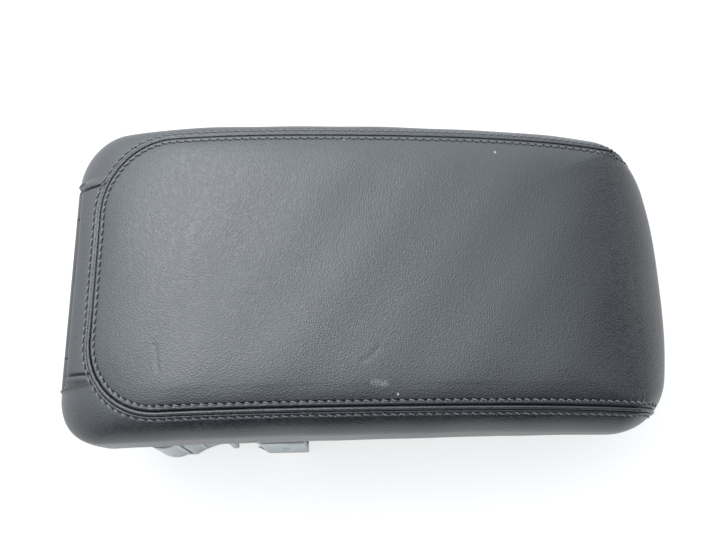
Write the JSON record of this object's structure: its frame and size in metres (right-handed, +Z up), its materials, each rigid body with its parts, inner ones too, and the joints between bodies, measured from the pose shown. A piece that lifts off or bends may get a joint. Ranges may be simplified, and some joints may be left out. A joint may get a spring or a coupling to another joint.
{
  "type": "car centre armrest",
  "caption": "Car centre armrest: a padded lid upholstered in dark blue-grey leather with a twin-stitched welt seam, hinged at the rear on a light grey cast metal base",
  "frame": {"origin": "bottom centre of the whole armrest's box, on the plate its base stands on", "axes": "+X to the lid's nose, +Y to the lid's far side in the picture (its left), +Z up"},
  "size_m": [0.329, 0.1806, 0.0963],
  "materials": {
    "leather": "semi-gloss grained leather",
    "cast_metal": "matte die casting",
    "steel": "plain bright steel",
    "bronze": "plain",
    "dark_plastic": "matte moulded",
    "black_plastic": "matte moulded",
    "rubber": "matte",
    "foam": "soft foam"
  },
  "bodies": {
    "base": {"base_frame": "cast_metal", "hinge_pin": "steel", "hinge_cover": "dark_plastic", "retaining_rings": "steel", "lid_springs": "steel", "base_bumpers": "rubber"},
    "lid": {"hinge_arm_left": "steel", "hinge_arm_right": "steel", "hinge_bushes": "bronze", "hinge_cap_left": "dark_plastic", "hinge_cap_right": "dark_plastic", "arm_screws": "steel", "lower_shell": "black_plastic", "shell_screws": "steel", "upper_shell": "black_plastic", "foam_pad": "foam", "top_panel": "leather", "side_panel_left": "leather", "side_panel_right": "leather", "rear_panel": "leather", "seam_welt": "leather", "latch_housing": "black_plastic", "latch_screws": "steel", "latch_pin": "steel", "latch_spring": "steel"},
    "latch": {"latch_lever": "black_plastic"}
  },
  "joints": [
    {"name": "lid_hinge", "type": "hinge", "parent": "base", "child": "lid", "pos_m": [-0.1515, 0, 0.054], "axis": [0, -1, 0], "range_deg": [0, 78]},
    {"name": "latch_pivot", "type": "hinge", "parent": "lid", "child": "latch", "pos_m": [0.1265, 0, 0.05], "axis": [0, -1, 0], "range_deg": [0, 10], "stiffness_Nm_per_rad": 0.3, "springref_deg": -11.46}
  ]
}
